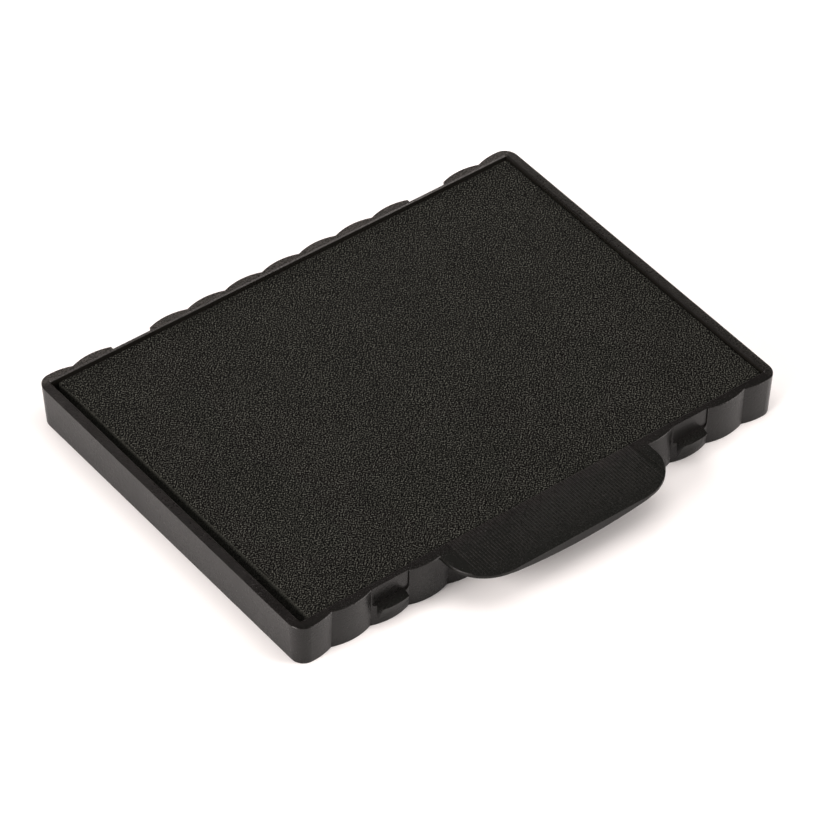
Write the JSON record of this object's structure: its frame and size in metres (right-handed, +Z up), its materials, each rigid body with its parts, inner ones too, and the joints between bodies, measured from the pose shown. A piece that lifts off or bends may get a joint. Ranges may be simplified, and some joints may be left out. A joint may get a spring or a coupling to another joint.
{
  "type": "stamp ink pad cartridge",
  "caption": "Swap pad for a self-inking stamp: shallow scalloped black tray with an ink pad, snap noses and a ridged pull handle.",
  "frame": {"origin": "centre of the tray's flat underside", "axes": "+X along the tray's long side, +Y to the back, away from the pull handle, +Z up, out of the pad"},
  "size_m": [0.0768, 0.062, 0.0062],
  "materials": {
    "tray_plastic": "black moulded polystyrene with a fine spark-eroded grain",
    "film": "translucent double-sided adhesive film",
    "felt": "dense needled felt soaked in black ink",
    "foam": "fine open-cell foam soaked in black ink",
    "cloth": "black ink-soaked top cloth with a fine grain"
  },
  "bodies": {
    "root": {"tray": "tray_plastic", "adhesive_film": "film", "reservoir_felt": "felt", "foam_layer": "foam", "cover_cloth": "cloth"}
  },
  "joints": []
}
